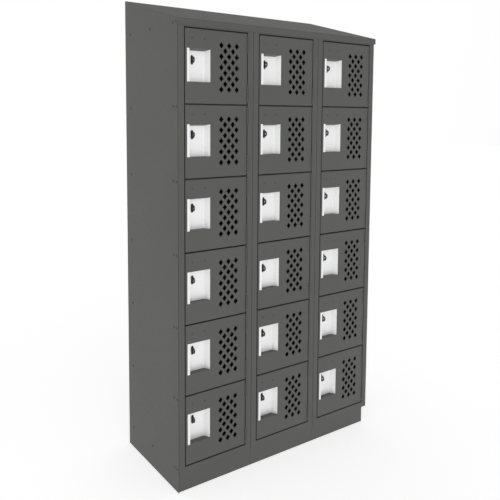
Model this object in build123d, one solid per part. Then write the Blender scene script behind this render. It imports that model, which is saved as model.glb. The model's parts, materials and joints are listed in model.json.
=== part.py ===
from build123d import *
import os

# Bank of box lockers: three columns of six hinged doors on a closed base, under one sloping hood.
# X runs across the front, Y runs back from the front, Z is up, in millimetres.
# The origin is on the floor, at the middle of the overall width and depth.

# Bank
columns = 3
rows = 6
column_pitch = 304.8
cabinet_depth = 381.0
body_height = 1524.0
base_height = 64.0
row_pitch = 246.0
sill_height = 22.0
header_height = 22.0

# Sheet thicknesses
frame_sheet = 1.5
door_sheet = 1.5
panel_sheet = 1.5
light_sheet = 0.8
cup_sheet = 0.9
staple_plate = 3.2

# Front frame of one column
face_width = 23.4
frame_depth = 38.0
jamb_depth = 18.0
stop_reach = 7.0
bend_radius = 2.0
opening_gap = 4.0
crossbar_up = 8.0
crossbar_down = 12.0
crossbar_ledge = 11.5

# Door
side_gap = 3.5
door_depth = 15.0
door_return = 8.0
door_gap = 4.0
plate_hole_radius = 1.75
plate_hole_x = (26.6, 75.0)
plate_hole_drop = 30.7

# Diamond perforations
diamond_width = 18.6
diamond_height = 22.0
diamond_step_x = 31.8
diamond_step_z = 36.54
diamond_centre_x = 174.0
diamond_first_drop = 47.2
diamond_lines = 9

# Recess for the padlock
recess_left = 16.0
recess_right = 98.5
recess_drop = 63.6
recess_height = 107.5
recess_depth = 24.0
recess_slope_run = 12.0
cup_strip = 9.0
cup_tail = 7.0
cup_bend = 1.5
cup_soft_bend = 6.0
recess_edge_room = 0.7
recess_top_fall = 5.0
slot_x = 40.0
slot_width = 9.5
slot_height = 31.4
slot_drop = 98.5

# Hasp staple
staple_half_height = 10.5
staple_tip = 7.0
staple_eye_radius = 3.6
bracket_plate = 2.5
bracket_back = 29.5
bracket_half_height = 15.0

# Hinges
hinge_length = 56.0
hinge_inset = 38.0
knuckles = 5
knuckle_gap = 1.0
barrel_radius = 2.6
pin_radius = 1.2
pin_clearance = 0.05
pin_proud = 1.2
leaf_sheet = 1.0
leaf_depth = 14.0
leaf_clearance = 0.3
hinge_notch_width = 3.5
hinge_notch_depth = 1.7
hinge_notch_room = 1.0

# Shelves and back
shelf_front = 20.0
shelf_flange = 16.0
shelf_front_flange = 9.0
back_return = 14.0
anchor_radius = 4.5
anchor_height = 1480.0

# Base
base_recess = 4.0
base_flange = 30.0
base_right_inset = 21.0
floor_anchor_radius = 5.0

# Hood
hood_sheet = 1.5
hood_proud = 2.0
lip_bottom = 1570.0
lip_top = 1591.5
hood_rise = 114.3
hood_overhang = 5.1

# Bolts
bolt_radius = 2.4
bolt_clearance = 0.05
bolt_head_radius = 4.4
bolt_head_height = 2.0
nut_radius = 4.6
nut_height = 3.0
bolt_drop = 8.0
front_bolt_depth = 30.0
edge_bolt_depth = 10.0
middle_bolt_depth = 190.0
rear_bolt_depth = 345.0

# Rubber bumpers
bumper_radius = 2.5
bumper_air = 0.1

# Positions that follow from the sizes above
left_end = bolt_head_height + panel_sheet + light_sheet / 2
hinge_proud = pin_proud + barrel_radius
overall_width = left_end + columns * column_pitch + hood_overhang
overall_depth = cabinet_depth + hinge_proud
bank_left = -overall_width / 2 + left_end
bank_right = bank_left + columns * column_pitch
front = -overall_depth / 2 + hinge_proud
body_bottom = base_height
body_top = base_height + body_height
opening_bottom = body_bottom + sill_height
opening_top = body_top - header_height
first_door_bottom = opening_bottom + opening_gap
door_height = row_pitch - door_gap
door_width = column_pitch - light_sheet - 2 * face_width - 2 * side_gap
back_face = cabinet_depth - light_sheet


def column_left(column):
    return bank_left + column * column_pitch + light_sheet / 2


def column_right(column):
    return bank_left + (column + 1) * column_pitch - light_sheet / 2


def door_left(column):
    return column_left(column) + face_width + side_gap


def door_bottom(row):
    return first_door_bottom + (rows - 1 - row) * row_pitch


def shelf_level(index):
    if index == 0:
        return opening_bottom
    if index == rows:
        return body_top - frame_sheet
    return first_door_bottom - door_gap / 2 + index * row_pitch


def pin_x(column):
    return door_left(column) + door_width + side_gap / 2


def block(x0, x1, d0, d1, z0, z1):
    # A plain block, with its depths measured back from the front face.
    size = Box(x1 - x0, d1 - d0, z1 - z0)
    middle = ((x0 + x1) / 2, front + (d0 + d1) / 2, (z0 + z1) / 2)
    return Pos(*middle) * size


def plan_prism(points, z0, z1):
    # A prism standing on a plan outline given as (x, depth).
    corners = [(x, front + d) for x, d in points]
    outline = make_face(Polyline(*corners, close=True))
    return Pos(0, 0, z0) * extrude(outline, z1 - z0)


def side_prism(points, x0, x1):
    # A prism lying along X, from an outline given as (depth, height).
    corners = [(front + d, z) for d, z in points]
    outline = make_face(Polyline(*corners, close=True))
    return Pos(x0, 0, 0) * extrude(Plane.YZ * outline, x1 - x0)


def folded(points, thickness, radii):
    # The section of a folded sheet that lies to the left of a line of points, with a radius for each bend.
    line = FilletPolyline(*points, radius=radii)
    outline = offset(line, amount=thickness, side=Side.LEFT, closed=True)
    return make_face(outline)


def rod_along_x(radius, x0, x1, depth, z):
    rod = Cylinder(radius, x1 - x0, rotation=(0, 90, 0))
    return Pos((x0 + x1) / 2, front + depth, z) * rod


def rod_along_y(radius, x, d0, d1, z):
    rod = Cylinder(radius, d1 - d0, rotation=(90, 0, 0))
    return Pos(x, front + (d0 + d1) / 2, z) * rod


def joined(first, *others):
    result = first
    for other in others:
        result = result + other
    return result


def save(name, shapes):
    solids = [solid for shape in shapes for solid in shape.solids()]
    export_step(Compound(children=solids), f"parts/{name}.step")


# Bolt rows

def bolt_spots_left():
    # Depth and height of every bolt through the finished left end.
    spots = []
    for index in range(rows + 1):
        z = shelf_level(index) - bolt_drop
        spots.append((edge_bolt_depth, z))
        spots.append((front_bolt_depth, z))
        spots.append((rear_bolt_depth, z))
        if index in (0, rows):
            spots.append((middle_bolt_depth, z))
    return spots


def bolt_spots_inner():
    # Depth and height of every bolt through a partition or the right side.
    spots = []
    for index in range(rows + 1):
        z = shelf_level(index) - bolt_drop
        spots.append((front_bolt_depth, z))
        spots.append((rear_bolt_depth, z))
    return spots


def bolt_holes(seam):
    # The clearance holes that every sheet meeting at one seam gets.
    spots = bolt_spots_left() if seam == 0 else bolt_spots_inner()
    x = bank_left + seam * column_pitch
    radius = bolt_radius + bolt_clearance
    return [rod_along_x(radius, x - 4, x + 4, depth, z) for depth, z in spots]


# Front frame of one column: two posts, a header, a sill and five crossbars, welded where they butt.
# Each post and rail is a channel with a face, a jamb and a door stop. The face is notched beside every hinge.
# The legs at the sides and the strips behind header and sill are solids that meet the channels at the folds.

def column_frame(column):
    left = column_left(column)
    right = column_right(column)
    inner_left = left + face_width
    inner_right = right - face_width
    shell = block(left, right, 0, frame_depth, body_bottom, body_top)
    corners = shell.edges().filter_by(Axis.Z).group_by(Axis.Y)[0]
    shell = fillet(corners, bend_radius)
    t = frame_sheet
    room = block(left + t, right - t, t, frame_depth, body_bottom + t, body_top - t)
    mouth = block(inner_left, inner_right, -1, frame_depth, opening_bottom, opening_top)
    jambs = block(inner_left - t, inner_right + t, t / 2, jamb_depth, opening_bottom - t, opening_top + t)
    frame = (shell - room) + jambs - mouth
    rim = frame.edges().group_by(Axis.Y)[0].filter_by_position(Axis.X, inner_left - 1, inner_right + 1)
    rim = rim.filter_by_position(Axis.Z, opening_bottom - 1, opening_top + 1)
    frame = fillet(rim, bend_radius - 0.6)
    stop = block(inner_left - 1, inner_right + 1, jamb_depth - t, jamb_depth, opening_bottom - 1, opening_top + 1)
    reach = stop_reach
    z0 = opening_bottom + reach
    z1 = opening_top - reach
    stop -= block(inner_left + reach, inner_right - reach, 0, frame_depth, z0, z1)
    frame = frame + stop
    for row in range(rows):
        for base in hinge_bases(row):
            z0 = base - hinge_notch_room
            z1 = base + hinge_length + hinge_notch_room
            frame = frame - block(inner_right - 1, inner_right + hinge_notch_width, -1, hinge_notch_depth, z0, z1)
    for seam in (column, column + 1):
        frame = frame - bolt_holes(seam)
    header_room = block(inner_left, inner_right, -1, frame_depth + 1, opening_top - reach, body_top)
    sill_room = block(inner_left, inner_right, -1, frame_depth + 1, body_bottom, opening_bottom + reach)
    left_leg_room = block(left, left + bend_radius, -1, frame_depth + 1, body_bottom, body_top)
    right_leg_room = block(right - bend_radius, right, -1, frame_depth + 1, body_bottom, body_top)
    x0 = left + bend_radius
    x1 = right - bend_radius
    rear_room = block(x0, x1, jamb_depth, frame_depth + 1, body_bottom, body_top)
    pieces = [frame & room for room in (left_leg_room, right_leg_room, rear_room)]
    rails = frame - left_leg_room - right_leg_room - rear_room
    pieces += [rails - header_room - sill_room, rails & header_room, rails & sill_room]
    for index in range(1, rows):
        pieces.append(crossbar(inner_left + reach, inner_right - reach, shelf_level(index)))
    return pieces


def crossbar(x0, x1, z):
    # An angle behind the gap between two doors, which also carries the front of a shelf.
    d1 = jamb_depth
    d0 = d1 - frame_sheet
    web = block(x0, x1, d0, d1, z - crossbar_down, z + crossbar_up)
    ledge = block(x0, x1, d0, d0 + crossbar_ledge, z - crossbar_down, z - crossbar_down + frame_sheet)
    return web + ledge


# Sheet panels of the body

def side_sheet(seam):
    x = bank_left + seam * column_pitch
    half = light_sheet / 2
    sheet = block(x - half, x + half, 2.5, cabinet_depth, body_bottom, body_top)
    return sheet - bolt_holes(seam)


def back_panel(column):
    # A sheet with a return along each side that laps the side sheet.
    # The three legs are solids that meet at the folds.
    left = column_left(column)
    right = column_right(column)
    t = light_sheet
    sheet = block(left, right, back_face, cabinet_depth, body_bottom, body_top)
    if column != 1:
        middle = (left + right) / 2
        sheet -= rod_along_y(anchor_radius, middle, back_face - 2, cabinet_depth + 2, anchor_height)
    pieces = [sheet]
    for x in (left, right - t):
        pieces.append(block(x, x + t, back_face - back_return, back_face, body_bottom, body_top))
    return pieces


def shelf(column, index):
    # A pan with its corners notched round the frame legs and the back panel's returns.
    # The pan and the flange along each of its four sides are solids that meet at the folds.
    left = column_left(column)
    right = column_right(column)
    z = shelf_level(index)
    t = light_sheet
    rear = back_face - 0.8
    leg = frame_sheet + 0.1
    leg_end = frame_depth + 0.2
    side_front = leg_end + 2
    side_rear = back_face - back_return - 1
    pan = block(left + 0.1, right - 0.1, shelf_front, rear, z - t, z)
    for x0, x1 in ((left, left + leg), (right - leg, right)):
        pan -= block(x0, x1, 0, leg_end, z - shelf_flange, z + 1)
        pan -= block(x0, x1, side_rear + 0.5, cabinet_depth, z - shelf_flange, z + 1)
    front_flange = block(left + leg, right - leg, shelf_front, shelf_front + t, z - shelf_front_flange, z - t)
    rear_flange = block(left + 1.6, right - 1.6, rear - t, rear, z - shelf_flange, z - t)
    pieces = [pan, front_flange, rear_flange]
    for x, seam in ((left + 0.1, column), (right - 0.1 - t, column + 1)):
        flange = block(x, x + t, side_front, side_rear, z - shelf_flange, z - t)
        pieces.append(flange - bolt_holes(seam))
    return pieces


# Doors

def diamond(x, z):
    half_x = diamond_width / 2
    half_z = diamond_height / 2
    points = [(x - half_x, z), (x, z - half_z), (x + half_x, z), (x, z + half_z)]
    outline = make_face(Polyline(*points, close=True))
    cutter = extrude(Plane.XZ * outline, door_sheet + 2, dir=(0, 1, 0))
    return Pos(0, front - 1, 0) * cutter


def diamonds(left, top):
    # Nine lines of perforations, three and two by turns, on half steps.
    cutters = []
    for line in range(diamond_lines):
        z = top - diamond_first_drop - line * diamond_step_z / 2
        offsets = (-1, 0, 1) if line % 2 == 0 else (-0.5, 0.5)
        for step in offsets:
            cutters.append(diamond(left + diamond_centre_x + step * diamond_step_x, z))
    return cutters


def recess_plan(left, z0, z1):
    # Everything inside the plan outline of the recess between two heights.
    slope_foot = recess_right - recess_slope_run + 0.6
    edge = recess_right + 0.9
    points = [
        (left + recess_left, door_sheet / 2),
        (left + recess_left, recess_depth),
        (left + slope_foot, recess_depth),
        (left + edge, door_sheet + cup_sheet),
        (left + edge, door_sheet / 2),
    ]
    return plan_prism(points, z0, z1)


def recess_slope(left, z, thickness):
    # A band that falls towards the back of the recess from height z at the front face.
    deep = recess_depth * 1.25
    low = z - recess_top_fall * 1.25
    points = [(0, z), (deep, low), (deep, low + thickness), (0, z + thickness)]
    return side_prism(points, left, left + recess_right + 20)


def door_panel(row, column):
    left = door_left(column)
    right = left + door_width
    bottom = door_bottom(row)
    top = bottom + door_height
    t = door_sheet
    shell = block(left, right, 0, door_depth, bottom, top)
    shell = fillet(shell.faces().sort_by(Axis.Y)[0].edges(), bend_radius)
    shell -= block(left + t, right - t, t, door_depth + 1, bottom + t, top - t)
    for x0, x1 in ((left + t / 2, left + door_return), (right - door_return, right - t / 2)):
        shell += block(x0, x1, door_depth - t, door_depth, bottom + t / 2, top - t / 2)
    recess_top = top - recess_drop
    recess_bottom = recess_top - recess_height
    cut_left = left + recess_left - recess_edge_room
    shell -= block(cut_left, left + recess_right, -1, t + 1, recess_bottom, recess_top)
    roof = recess_plan(left, recess_top - 2 * recess_top_fall, recess_top + 2 * t)
    shell += roof & recess_slope(left, recess_top, t)
    shell += recess_plan(left, recess_bottom - t, recess_bottom)
    holes = diamonds(left, top)
    for x in plate_hole_x:
        holes.append(rod_along_y(plate_hole_radius, left + x, -1, t + 1, top - plate_hole_drop))
    return shell - holes


def recess_cup(row, column):
    # One folded strip: flange on the door face, left wall, back, sloping right wall and a tail behind the door.
    left = door_left(column)
    top = door_bottom(row) + door_height - recess_drop
    t = cup_sheet
    wall = left + recess_left + t
    back = front + recess_depth - t
    tail = front + door_sheet
    edge = left + recess_right
    points = [
        (wall - t - cup_strip, front - t),
        (wall, front - t),
        (wall, back),
        (edge - recess_slope_run, back),
        (edge, tail),
        (edge + cup_tail, tail),
    ]
    section = folded(points, t, [cup_bend, cup_bend, cup_soft_bend, cup_bend])
    strip = Pos(0, 0, top - recess_height) * extrude(section, recess_height)
    slot = Plane.XZ * SlotOverall(slot_height, slot_width, rotation=90)
    slot_z = door_bottom(row) + door_height - slot_drop
    cutter = Pos(left + slot_x, back - 3, slot_z) * extrude(slot, 10, dir=(0, 1, 0))
    return strip - recess_slope(left, top, 3 * recess_top_fall) - cutter


# Hinges

def knuckle_span(base, number):
    length = (hinge_length - (knuckles - 1) * knuckle_gap) / knuckles
    z0 = base + number * (length + knuckle_gap)
    return z0, z0 + length


def hinge_bases(row):
    bottom = door_bottom(row)
    half = hinge_length / 2
    return (bottom + hinge_inset - half, bottom + door_height - hinge_inset - half)


def hinge_leaf(column, base, side):
    # side is 1 for the leaf on the frame and -1 for the leaf on the door.
    x = pin_x(column)
    inner = x + side * (side_gap / 2 - leaf_sheet)
    outer = x + side * side_gap / 2
    x0 = min(inner, outer)
    x1 = max(inner, outer)
    plate_front = barrel_radius - pin_proud + leaf_clearance
    leaf = block(x0, x1, plate_front, leaf_depth, base, base + hinge_length)
    for number in range(0 if side > 0 else 1, knuckles, 2):
        z0, z1 = knuckle_span(base, number)
        barrel = Pos(x, front - pin_proud, (z0 + z1) / 2) * Cylinder(barrel_radius, z1 - z0)
        leaf = joined(leaf, block(x0, x1, -pin_proud, plate_front, z0, z1), barrel)
    bore = Pos(x, front - pin_proud, base + hinge_length / 2)
    return leaf - bore * Cylinder(pin_radius + pin_clearance, hinge_length + 4)


def hinge_pin(column, base):
    x = pin_x(column)
    middle = Pos(x, front - pin_proud, base + hinge_length / 2)
    pin = middle * Cylinder(pin_radius, hinge_length + 0.4)
    for z in (base - 0.6, base + hinge_length + 0.6):
        head = Pos(x, front - pin_proud, z) * Cylinder(barrel_radius - 0.5, 0.8)
        pin = pin + head
    return pin


# Latch side of the frame

def hasp_staple(row, column):
    # A cranked bracket welded behind the door stop, ending in a half-round eye plate.
    left = door_left(column)
    z = door_bottom(row) + door_height - slot_drop
    low = z - bracket_half_height
    high = z + bracket_half_height
    t = bracket_plate
    leg = left + stop_reach / 2 - 1
    plate_left = left + slot_x - staple_plate / 2
    plate_right = left + slot_x + staple_plate / 2
    foot = block(left - side_gap + 0.2, leg + t, jamb_depth, jamb_depth + t, low, high)
    arm = block(leg, leg + t, jamb_depth, bracket_back, low, high)
    bridge = block(leg, plate_right, bracket_back - t, bracket_back, low, high)
    nose_centre = staple_tip + staple_half_height
    half = staple_half_height
    tongue = block(plate_left, plate_right, nose_centre, bracket_back - t, z - half, z + half)
    nose = rod_along_x(half, plate_left, plate_right, nose_centre, z)
    eye = rod_along_x(staple_eye_radius, plate_left - 1, plate_right + 1, nose_centre - 2, z)
    return joined(foot, arm, bridge, tongue, nose) - eye


def bumper(row, column, z_share):
    z = door_bottom(row) + door_height * z_share
    x = door_left(column) + 0.9
    return rod_along_y(bumper_radius, x, door_depth + bumper_air, jamb_depth - frame_sheet, z)


# Bolts and nuts

def bolt(x_head, x_nut, depth, z):
    # Domed head at x_head, shank through the sheets, nut against the far sheet.
    way = 1 if x_nut > x_head else -1
    end = x_nut + way * (nut_height + 1)
    shank = rod_along_x(bolt_radius, min(x_head, end), max(x_head, end), depth, z)
    outer = x_head - way * bolt_head_height
    head = rod_along_x(bolt_head_radius, min(x_head, outer), max(x_head, outer), depth, z)
    rim = head.faces().sort_by(Axis.X)[0 if way > 0 else -1].edges()
    return shank + fillet(rim, bolt_head_height * 0.7)


def nut(x_nut, way, depth, z):
    x0 = min(x_nut, x_nut + way * nut_height)
    hexagon = Plane.YZ * RegularPolygon(nut_radius, 6)
    body = Pos(x0, front + depth, z) * extrude(hexagon, nut_height)
    return body - rod_along_x(bolt_radius + bolt_clearance, x0 - 1, x0 + nut_height + 1, depth, z)


def bolts_and_nuts():
    pieces = []
    half = light_sheet / 2
    for depth, z in bolt_spots_left():
        inner = frame_sheet if depth < frame_depth else light_sheet + 0.1
        head = bank_left - half - panel_sheet
        far = bank_left + half + inner
        pieces += [bolt(head, far, depth, z), nut(far, 1, depth, z)]
    for seam in range(1, columns + 1):
        x = bank_left + seam * column_pitch
        for depth, z in bolt_spots_inner():
            inner = frame_sheet if depth < frame_depth else light_sheet + 0.1
            outer = inner if seam < columns else 0
            head = x + half + outer
            far = x - half - inner
            pieces += [bolt(head, far, depth, z), nut(far, -1, depth, z)]
    return pieces


# Base

def base_front(column):
    left = column_left(column)
    right = column_right(column)
    if column == columns - 1:
        right = bank_right - base_right_inset
    t = panel_sheet
    d0 = base_recess
    plate = block(left, right, d0, d0 + t, 0, base_height)
    plate += block(left, right, d0, d0 + base_flange, base_height - t, base_height)
    plate += block(left, right, d0, d0 + base_flange, 0, t)
    if column != 1:
        x = floor_anchor_x(column)
        plate -= Pos(x, front + floor_anchor_front(), 0) * Cylinder(floor_anchor_radius, 3 * t)
    return plate


def floor_anchor_x(column):
    return (column_left(column) + column_left(column) + column_pitch) / 2 - base_right_inset


def floor_anchor_front():
    return base_recess + base_flange * 0.6


def base_end(x0):
    t = panel_sheet
    first = base_recess + base_flange + 0.5
    return block(x0, x0 + t, first, cabinet_depth - base_flange - 1, 0, base_height)


def base_rear():
    left = bank_left + light_sheet / 2
    right = bank_right - base_right_inset
    t = panel_sheet
    d1 = cabinet_depth
    plate = block(left, right, d1 - t, d1, 0, base_height)
    plate += block(left, right, d1 - base_flange, d1, base_height - t, base_height)
    plate += block(left, right, d1 - base_flange, d1, 0, t)
    depth = cabinet_depth - floor_anchor_front()
    for column in (0, 2):
        plate -= Pos(floor_anchor_x(column), front + depth, 0) * Cylinder(floor_anchor_radius, 3 * t)
    return plate


# Finished end panel and hood

def roof_height(depth):
    # Height of the hood's outer face at a depth from the front.
    share = (depth + hood_proud) / (cabinet_depth + hood_proud)
    return lip_top + share * hood_rise


def hood_underside(depth):
    return roof_height(depth) - hood_sheet * 1.06


def end_panel():
    right = bank_left - light_sheet / 2
    left = right - panel_sheet
    behind = cabinet_depth - hood_sheet - 0.1
    points = [
        (0, 0),
        (cabinet_depth, 0),
        (cabinet_depth, body_top + 0.1),
        (behind, body_top + 0.1),
        (behind, hood_underside(behind) - 0.2),
        (0, hood_underside(0) - 0.2),
    ]
    panel = side_prism(points, left, right)
    edge = panel.edges().filter_by(Axis.Z).group_by(Axis.Y)[0].sort_by(Axis.X)[0]
    panel = fillet(edge, 1.0)
    return panel - bolt_holes(0)


def hood():
    t = hood_sheet
    left = bank_left - light_sheet / 2 - panel_sheet
    right = bank_right + hood_overhang
    rear = front + cabinet_depth
    points = [
        (rear, body_top + 0.2),
        (rear, lip_top + hood_rise),
        (front - hood_proud, lip_top),
        (front - hood_proud, lip_bottom),
    ]
    section = folded(points, t, [bend_radius, bend_radius])
    sheet = Pos(left, 0, 0) * extrude(Plane.YZ * section, right - left)
    inner = left + panel_sheet + 0.1
    flange_points = [
        (4, body_top + 1.5),
        (40, body_top + 1.5),
        (cabinet_depth - 10, hood_underside(cabinet_depth - 10) - 26),
        (cabinet_depth - 10, hood_underside(cabinet_depth - 10) + 0.3),
        (4, hood_underside(4) + 0.3),
    ]
    return sheet + side_prism(flange_points, inner, inner + t)


def slope_wall(x0, x1, d0, d1, bottom):
    points = [
        (d0, bottom),
        (d1, bottom),
        (d1, hood_underside(d1) - 0.1),
        (d0, hood_underside(d0) - 0.1),
    ]
    return side_prism(points, x0, x1)


def hood_end_cap():
    t = light_sheet
    right = bank_right + light_sheet / 2
    wall = slope_wall(right - t, right, 2, cabinet_depth - hood_sheet - 0.2, body_top + 0.1)
    foot = block(right - 16, right, 30, cabinet_depth - hood_sheet - 0.2, body_top + 0.1, body_top + 0.1 + t)
    return wall + foot


def hood_gusset(seam):
    t = panel_sheet
    x = bank_left + seam * column_pitch
    wall = slope_wall(x - t / 2, x + t / 2, 60, cabinet_depth - hood_sheet - 0.2, body_top + 0.1)
    wall -= rod_along_x(20, x - 5, x + 5, 300, body_top + 55)
    foot = block(x - 15, x + t / 2, 60, cabinet_depth - hood_sheet - 0.2, body_top + 0.1, body_top + 0.1 + t)
    return wall + foot


# Export

os.makedirs("parts", exist_ok=True)

for column in range(columns):
    name = f"c{column + 1}"
    save(f"frame_{name}", column_frame(column))
    save(f"back_{name}", back_panel(column))
    save(f"shelves_{name}", [piece for index in range(rows + 1) for piece in shelf(column, index)])

save("side_sheet_left", [side_sheet(0)])
save("partition_c1c2", [side_sheet(1)])
save("partition_c2c3", [side_sheet(2)])
save("side_sheet_right", [side_sheet(3)])
save("end_panel_left", [end_panel()])
save("hood", [hood()])
save("hood_end_cap", [hood_end_cap()])
save("hood_gussets", [hood_gusset(1), hood_gusset(2)])
save("base_fronts", [base_front(column) for column in range(columns)])

base_left_x = bank_left + light_sheet / 2
base_right_x = bank_right - base_right_inset - panel_sheet
save("base_frame", [base_end(base_left_x), base_end(base_right_x), base_rear()])

staples = []
bumpers = []
frame_leaves = []
pins = []
for row in range(rows):
    for column in range(columns):
        name = f"r{row + 1}c{column + 1}"
        moving_leaves = []
        for base in hinge_bases(row):
            moving_leaves.append(hinge_leaf(column, base, -1))
            frame_leaves.append(hinge_leaf(column, base, 1))
            pins.append(hinge_pin(column, base))
        save(f"door_{name}", [door_panel(row, column)] + moving_leaves)
        save(f"cup_{name}", [recess_cup(row, column)])
        staples.append(hasp_staple(row, column))
        bumpers.append(bumper(row, column, 0.12))
        bumpers.append(bumper(row, column, 0.88))

save("hasp_staples", staples)
save("door_bumpers", bumpers)
save("hinge_frame_leaves", frame_leaves)
save("hinge_pins", pins)
save("carcass_bolts", bolts_and_nuts())
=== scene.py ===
import json
import math

import bpy
import bmesh
from mathutils import Matrix, Vector


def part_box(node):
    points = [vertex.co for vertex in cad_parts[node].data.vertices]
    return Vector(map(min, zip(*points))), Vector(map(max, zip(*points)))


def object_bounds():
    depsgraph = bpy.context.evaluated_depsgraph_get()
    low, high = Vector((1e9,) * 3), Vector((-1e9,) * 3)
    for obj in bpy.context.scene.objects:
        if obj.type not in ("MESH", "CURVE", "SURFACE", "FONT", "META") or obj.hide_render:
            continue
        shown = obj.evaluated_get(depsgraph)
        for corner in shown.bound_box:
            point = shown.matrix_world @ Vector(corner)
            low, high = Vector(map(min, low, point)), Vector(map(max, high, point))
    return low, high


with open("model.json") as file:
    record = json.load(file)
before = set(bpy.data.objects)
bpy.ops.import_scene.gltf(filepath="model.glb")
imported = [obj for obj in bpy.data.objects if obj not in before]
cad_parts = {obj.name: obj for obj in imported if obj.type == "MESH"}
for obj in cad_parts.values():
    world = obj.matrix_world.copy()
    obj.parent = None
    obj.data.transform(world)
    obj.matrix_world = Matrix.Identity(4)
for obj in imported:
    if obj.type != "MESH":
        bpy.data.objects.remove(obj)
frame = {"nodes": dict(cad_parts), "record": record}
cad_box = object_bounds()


# ---------------------------------------------------------------- materials


def new_material(name):
    mat = bpy.data.materials.new(name)
    mat.use_nodes = True
    nodes = mat.node_tree.nodes
    shader = nodes["Principled BSDF"]
    return mat, nodes, mat.node_tree.links, shader


def object_coords(nodes, links, scale):
    coord = nodes.new("ShaderNodeTexCoord")
    mapping = nodes.new("ShaderNodeMapping")
    mapping.inputs["Scale"].default_value = scale
    links.new(coord.outputs["Object"], mapping.inputs["Vector"])
    return mapping.outputs["Vector"]


def noise(nodes, links, vector, scale, detail=3.0, roughness=0.5):
    tex = nodes.new("ShaderNodeTexNoise")
    tex.inputs["Scale"].default_value = scale
    tex.inputs["Detail"].default_value = detail
    tex.inputs["Roughness"].default_value = roughness
    links.new(vector, tex.inputs["Vector"])
    return tex.outputs["Fac"]


def remap(nodes, links, value, low, high, from_low=0.3, from_high=0.7):
    node = nodes.new("ShaderNodeMapRange")
    node.inputs["From Min"].default_value = from_low
    node.inputs["From Max"].default_value = from_high
    node.inputs["To Min"].default_value = low
    node.inputs["To Max"].default_value = high
    links.new(value, node.inputs["Value"])
    return node.outputs["Result"]


def mixed_colour(nodes, links, factor, a, b):
    node = nodes.new("ShaderNodeMix")
    node.data_type = "RGBA"
    node.inputs["A"].default_value = (*a, 1.0)
    node.inputs["B"].default_value = (*b, 1.0)
    links.new(factor, node.inputs["Factor"])
    return node.outputs["Result"]


def bump(nodes, links, height, strength, distance, normal=None):
    node = nodes.new("ShaderNodeBump")
    node.inputs["Strength"].default_value = strength
    node.inputs["Distance"].default_value = distance
    links.new(height, node.inputs["Height"])
    if normal is not None:
        links.new(normal, node.inputs["Normal"])
    return node.outputs["Normal"]


def powder_coat(name, colour, rough=0.5):
    """Baked powder paint: fine orange peel, a broad drift in tone and small gloss changes."""
    mat, nodes, links, shader = new_material(name)
    vector = object_coords(nodes, links, (1, 1, 1))
    broad = noise(nodes, links, vector, 2.3, 4.0, 0.55)
    fine = noise(nodes, links, vector, 420.0, 4.0, 0.6)
    peel = noise(nodes, links, vector, 260.0, 2.0, 0.45)
    dark = tuple(c * 0.955 for c in colour)
    light = tuple(min(1.0, c * 1.045) for c in colour)
    tone = mixed_colour(nodes, links, remap(nodes, links, broad, 0.0, 1.0), dark, light)
    speck = nodes.new("ShaderNodeMix")
    speck.data_type = "RGBA"
    speck.blend_type = "MULTIPLY"
    speck.inputs["Factor"].default_value = 1.0
    links.new(tone, speck.inputs["A"])
    grain = mixed_colour(nodes, links, remap(nodes, links, fine, 0.0, 1.0), (0.94,) * 3, (1.0,) * 3)
    links.new(grain, speck.inputs["B"])
    links.new(speck.outputs["Result"], shader.inputs["Base Color"])
    links.new(remap(nodes, links, peel, rough - 0.06, rough + 0.07), shader.inputs["Roughness"])
    links.new(bump(nodes, links, peel, 0.22, 0.0004), shader.inputs["Normal"])
    shader.inputs["Metallic"].default_value = 0.0
    shader.inputs["IOR"].default_value = 1.45
    return mat


def brushed_steel(name, colour, rough, streak, metallic=1.0):
    """Steel with fine lines along one axis: streak is the stretch of the lines on X, Y and Z."""
    mat, nodes, links, shader = new_material(name)
    lines = noise(nodes, links, object_coords(nodes, links, streak), 60.0, 5.0, 0.6)
    cloud = noise(nodes, links, object_coords(nodes, links, (1, 1, 1)), 14.0, 3.0, 0.5)
    dark = tuple(c * 0.93 for c in colour)
    tone = mixed_colour(nodes, links, remap(nodes, links, lines, 0.0, 1.0, 0.35, 0.65), dark, colour)
    links.new(tone, shader.inputs["Base Color"])
    gloss = nodes.new("ShaderNodeMath")
    gloss.operation = "ADD"
    links.new(remap(nodes, links, lines, rough - 0.04, rough + 0.05), gloss.inputs[0])
    links.new(remap(nodes, links, cloud, -0.02, 0.03), gloss.inputs[1])
    links.new(gloss.outputs["Value"], shader.inputs["Roughness"])
    links.new(bump(nodes, links, lines, 0.10, 0.0001), shader.inputs["Normal"])
    shader.inputs["Metallic"].default_value = metallic
    shader.inputs["Anisotropic"].default_value = 0.35
    return mat


def rubber(name, colour):
    mat, nodes, links, shader = new_material(name)
    vector = object_coords(nodes, links, (1, 1, 1))
    fine = noise(nodes, links, vector, 900.0, 3.0, 0.6)
    light = tuple(c * 1.6 for c in colour)
    tone = mixed_colour(nodes, links, remap(nodes, links, fine, 0.0, 1.0), colour, light)
    links.new(tone, shader.inputs["Base Color"])
    links.new(remap(nodes, links, fine, 0.72, 0.86), shader.inputs["Roughness"])
    links.new(bump(nodes, links, fine, 0.3, 0.0002), shader.inputs["Normal"])
    return mat


def studio_floor(name, shade, glow):
    mat, nodes, links, shader = new_material(name)
    vector = object_coords(nodes, links, (1, 1, 1))
    broad = noise(nodes, links, vector, 1.2, 3.0, 0.5)
    tone = mixed_colour(nodes, links, remap(nodes, links, broad, 0.0, 1.0), (shade * 0.99,) * 3, (shade,) * 3)
    links.new(tone, shader.inputs["Base Color"])
    shader.inputs["Roughness"].default_value = 0.9
    shader.inputs["Specular IOR Level"].default_value = 0.1
    shader.inputs["Emission Color"].default_value = (1.0, 1.0, 1.0, 1.0)
    shader.inputs["Emission Strength"].default_value = glow
    return mat


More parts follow.
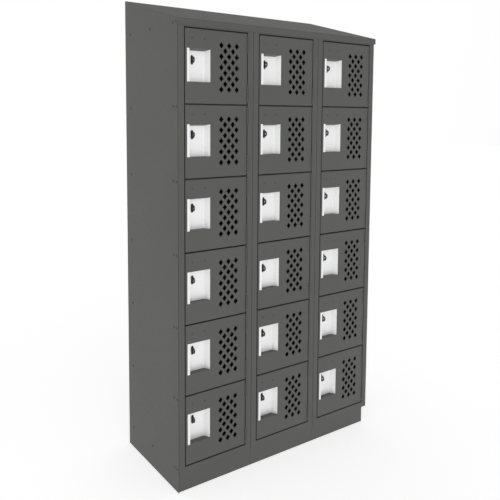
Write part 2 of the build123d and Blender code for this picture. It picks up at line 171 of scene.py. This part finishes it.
CHARCOAL = (0.0880, 0.0880, 0.0838)
materials = {
    "powder_coat": powder_coat("powder_coat", CHARCOAL, 0.52),
    "door_paint": powder_coat("door_paint", (0.0885, 0.0885, 0.0846), 0.50),
    "end_panel_paint": powder_coat("end_panel_paint", (0.0790, 0.0790, 0.0752), 0.54),
    # interior_paint is darker than the outside paint: painted shade, so the closed compartments seen through
    # the diamond vents read near-black
    "interior_paint": powder_coat("interior_paint", (0.060, 0.060, 0.057), 0.6),
    # stainless: only 0.3 metallic, so its bright look is partly a real reflection and mostly a painted
    # reflection, a near-white diffuse colour standing in for the mirror of the white room
    "stainless": brushed_steel("stainless", (0.98, 0.98, 0.985), 0.52, (1.0, 1.0, 26.0), 0.3),
    "staple_steel": brushed_steel("staple_steel", (0.085, 0.085, 0.085), 0.42, (1.0, 12.0, 1.0), 0.85),
    "hinge_pin_steel": brushed_steel("hinge_pin_steel", (0.35, 0.35, 0.35), 0.35, (1.0, 1.0, 14.0)),
    "bolt_steel": powder_coat("bolt_steel", (0.0740, 0.0740, 0.0705), 0.50),
    "bumper_rubber": rubber("bumper_rubber", (0.018, 0.018, 0.018)),
}

for part in frame["record"]["subparts"]:
    node = frame["nodes"][part["node"]]
    node.data.materials.clear()
    node.data.materials.append(materials[part["material_slot"]])

# ---------------------------------------------------------------- stage, light and camera

FLOOR_GAP = 0.0006
FLOOR_HALF_WIDTH = 28.0


def floor_plane():
    mesh = bpy.data.meshes.new("studio_floor")
    bm = bmesh.new()
    bmesh.ops.create_grid(bm, x_segments=8, y_segments=8, size=FLOOR_HALF_WIDTH)
    bm.to_mesh(mesh)
    bm.free()
    obj = bpy.data.objects.new("studio_floor", mesh)
    obj.location = (0.0, 0.0, cad_box[0].z - FLOOR_GAP)
    bpy.context.scene.collection.objects.link(obj)
    obj.data.materials.append(studio_floor("studio_floor", 0.90, 0.61))
    return obj


floor_plane()


def studio_world():
    """A white room: dimmer overhead, and a little dimmer to the front right than elsewhere."""
    world = bpy.data.worlds.new("studio_white")
    world.use_nodes = True
    nodes, links = world.node_tree.nodes, world.node_tree.links
    ray = nodes.new("ShaderNodeTexCoord").outputs["Generated"]

    def towards(direction, start, end, bright, dim):
        along = nodes.new("ShaderNodeVectorMath")
        along.operation = "DOT_PRODUCT"
        along.inputs[1].default_value = Vector(direction).normalized()
        links.new(ray, along.inputs[0])
        return remap(nodes, links, along.outputs["Value"], bright, dim, start, end)

    overhead = towards((0.0, 0.0, 1.0), 0.24, 0.90, 1.0, ZENITH)
    corner = towards((0.80, -0.60, -0.12), 0.30, 0.95, 1.0, CORNER)
    both = nodes.new("ShaderNodeMath")
    both.operation = "MULTIPLY"
    links.new(overhead, both.inputs[0])
    links.new(corner, both.inputs[1])
    links.new(both.outputs["Value"], nodes["Background"].inputs["Strength"])
    nodes["Background"].inputs["Color"].default_value = (1.0, 1.0, 1.0, 1.0)
    bpy.context.scene.world = world


ZENITH, CORNER = 0.14, 0.86
studio_world()


def area_light(name, place, target, size, power):
    light = bpy.data.lights.new(name, "AREA")
    light.shape = "RECTANGLE"
    light.size, light.size_y = size
    light.energy = power
    obj = bpy.data.objects.new(name, light)
    obj.location = place
    obj.rotation_mode = "QUATERNION"
    obj.rotation_quaternion = (Vector(target) - Vector(place)).to_track_quat("-Z", "Y")
    bpy.context.scene.collection.objects.link(obj)
    return obj


area_light("key_left", (-2.4, -4.0, 1.7), (0.0, 0.0, 0.9), (3.2, 2.6), 22.0)


def photo_camera(place, yaw, pitch, focal_px, centre_px):
    """A camera with its yaw to the right of +Y and its pitch above the horizon.

    centre_px is its principal point in a 500 x 500 picture.
    """
    data = bpy.data.cameras.new("photo_camera")
    data.sensor_width = 36.0
    data.lens = focal_px / 500.0 * 36.0
    data.shift_x = (250.0 - centre_px[0]) / 500.0
    data.shift_y = (centre_px[1] - 250.0) / 500.0
    data.clip_start, data.clip_end = 0.05, 60.0
    ahead = Vector((math.sin(yaw) * math.cos(pitch), math.cos(yaw) * math.cos(pitch), math.sin(pitch)))
    right = Vector((math.cos(yaw), -math.sin(yaw), 0.0))
    up = right.cross(ahead)
    turn = Matrix((right, up, -ahead)).transposed().to_4x4()
    obj = bpy.data.objects.new("photo_camera", data)
    obj.matrix_world = Matrix.Translation(place) @ turn
    bpy.context.scene.collection.objects.link(obj)
    bpy.context.scene.camera = obj
    return obj


body_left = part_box("side_sheet_left")[0].x
front_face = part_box("frame_c1")[0].y
photo_camera(
    (body_left - 0.960, front_face - 1.640, 1.2585),
    math.radians(32.75),
    math.radians(-4.85),
    587.0,
    (202.6, 172.2),
)

bpy.context.scene.view_settings.view_transform = "Standard"
bpy.context.scene.view_settings.look = "None"
